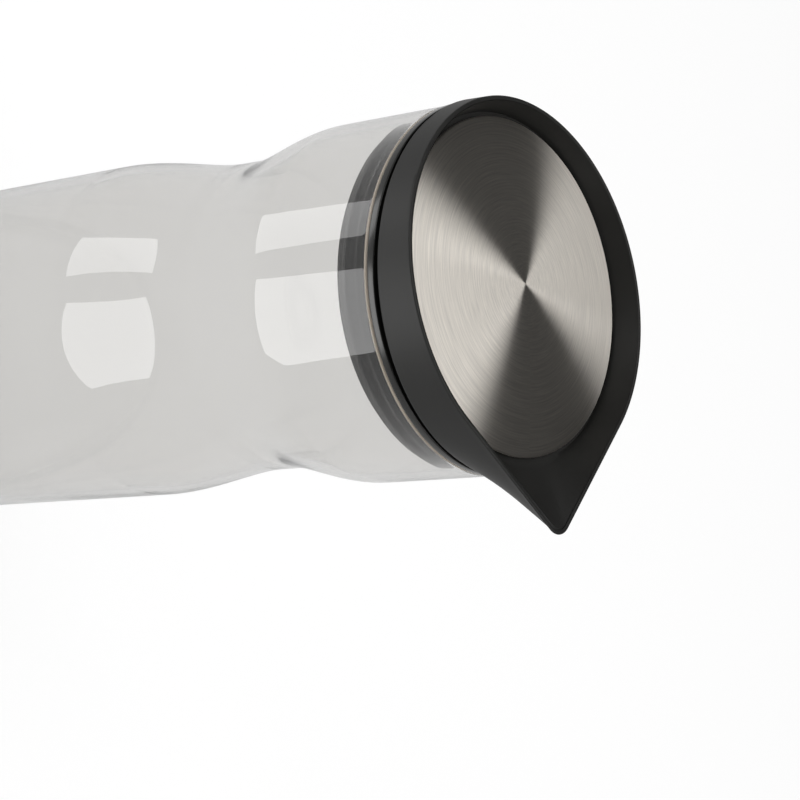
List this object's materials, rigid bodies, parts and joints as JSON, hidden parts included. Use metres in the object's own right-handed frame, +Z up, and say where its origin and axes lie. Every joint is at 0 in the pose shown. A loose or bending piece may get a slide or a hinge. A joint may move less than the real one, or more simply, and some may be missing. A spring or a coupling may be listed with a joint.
{
  "type": "glass carafe with lid",
  "caption": "Waisted clear glass carafe with a slanted, beaked plastic pour collar and a domed steel cover that slides open on its stem when tipped.",
  "frame": {"origin": "middle of the flat base, on the axis of the glass", "axes": "+Z up along the glass, +X towards the beak of the lid"},
  "size_m": [0.1108, 0.096, 0.275],
  "materials": {
    "clear_glass": "polished clear glass",
    "black_plastic": "fine matt moulded black",
    "dark_silicone": "smooth dark grey silicone",
    "turned_steel": "fine circular turning marks",
    "grey_plastic": "moulded dark grey",
    "stem_steel": "ground stainless steel"
  },
  "bodies": {
    "carafe": {"glass_body": "clear_glass"},
    "lid": {"pour_collar": "black_plastic", "neck_seal": "dark_silicone", "strainer_basket": "grey_plastic"},
    "valve": {"steel_cover": "turned_steel", "cover_carrier": "grey_plastic", "valve_seal": "dark_silicone", "valve_stem": "stem_steel", "valve_weight": "stem_steel", "stop_buffer": "dark_silicone", "retaining_clip": "stem_steel"}
  },
  "joints": [
    {"name": "lid_lift", "type": "slide", "parent": "carafe", "child": "lid", "axis": [0, 0, 1], "range_m": [0, 0.06]},
    {"name": "cover_slide", "type": "slide", "parent": "lid", "child": "valve", "axis": [-0.0506, 0, 0.9987], "range_m": [0, 0.005]}
  ]
}
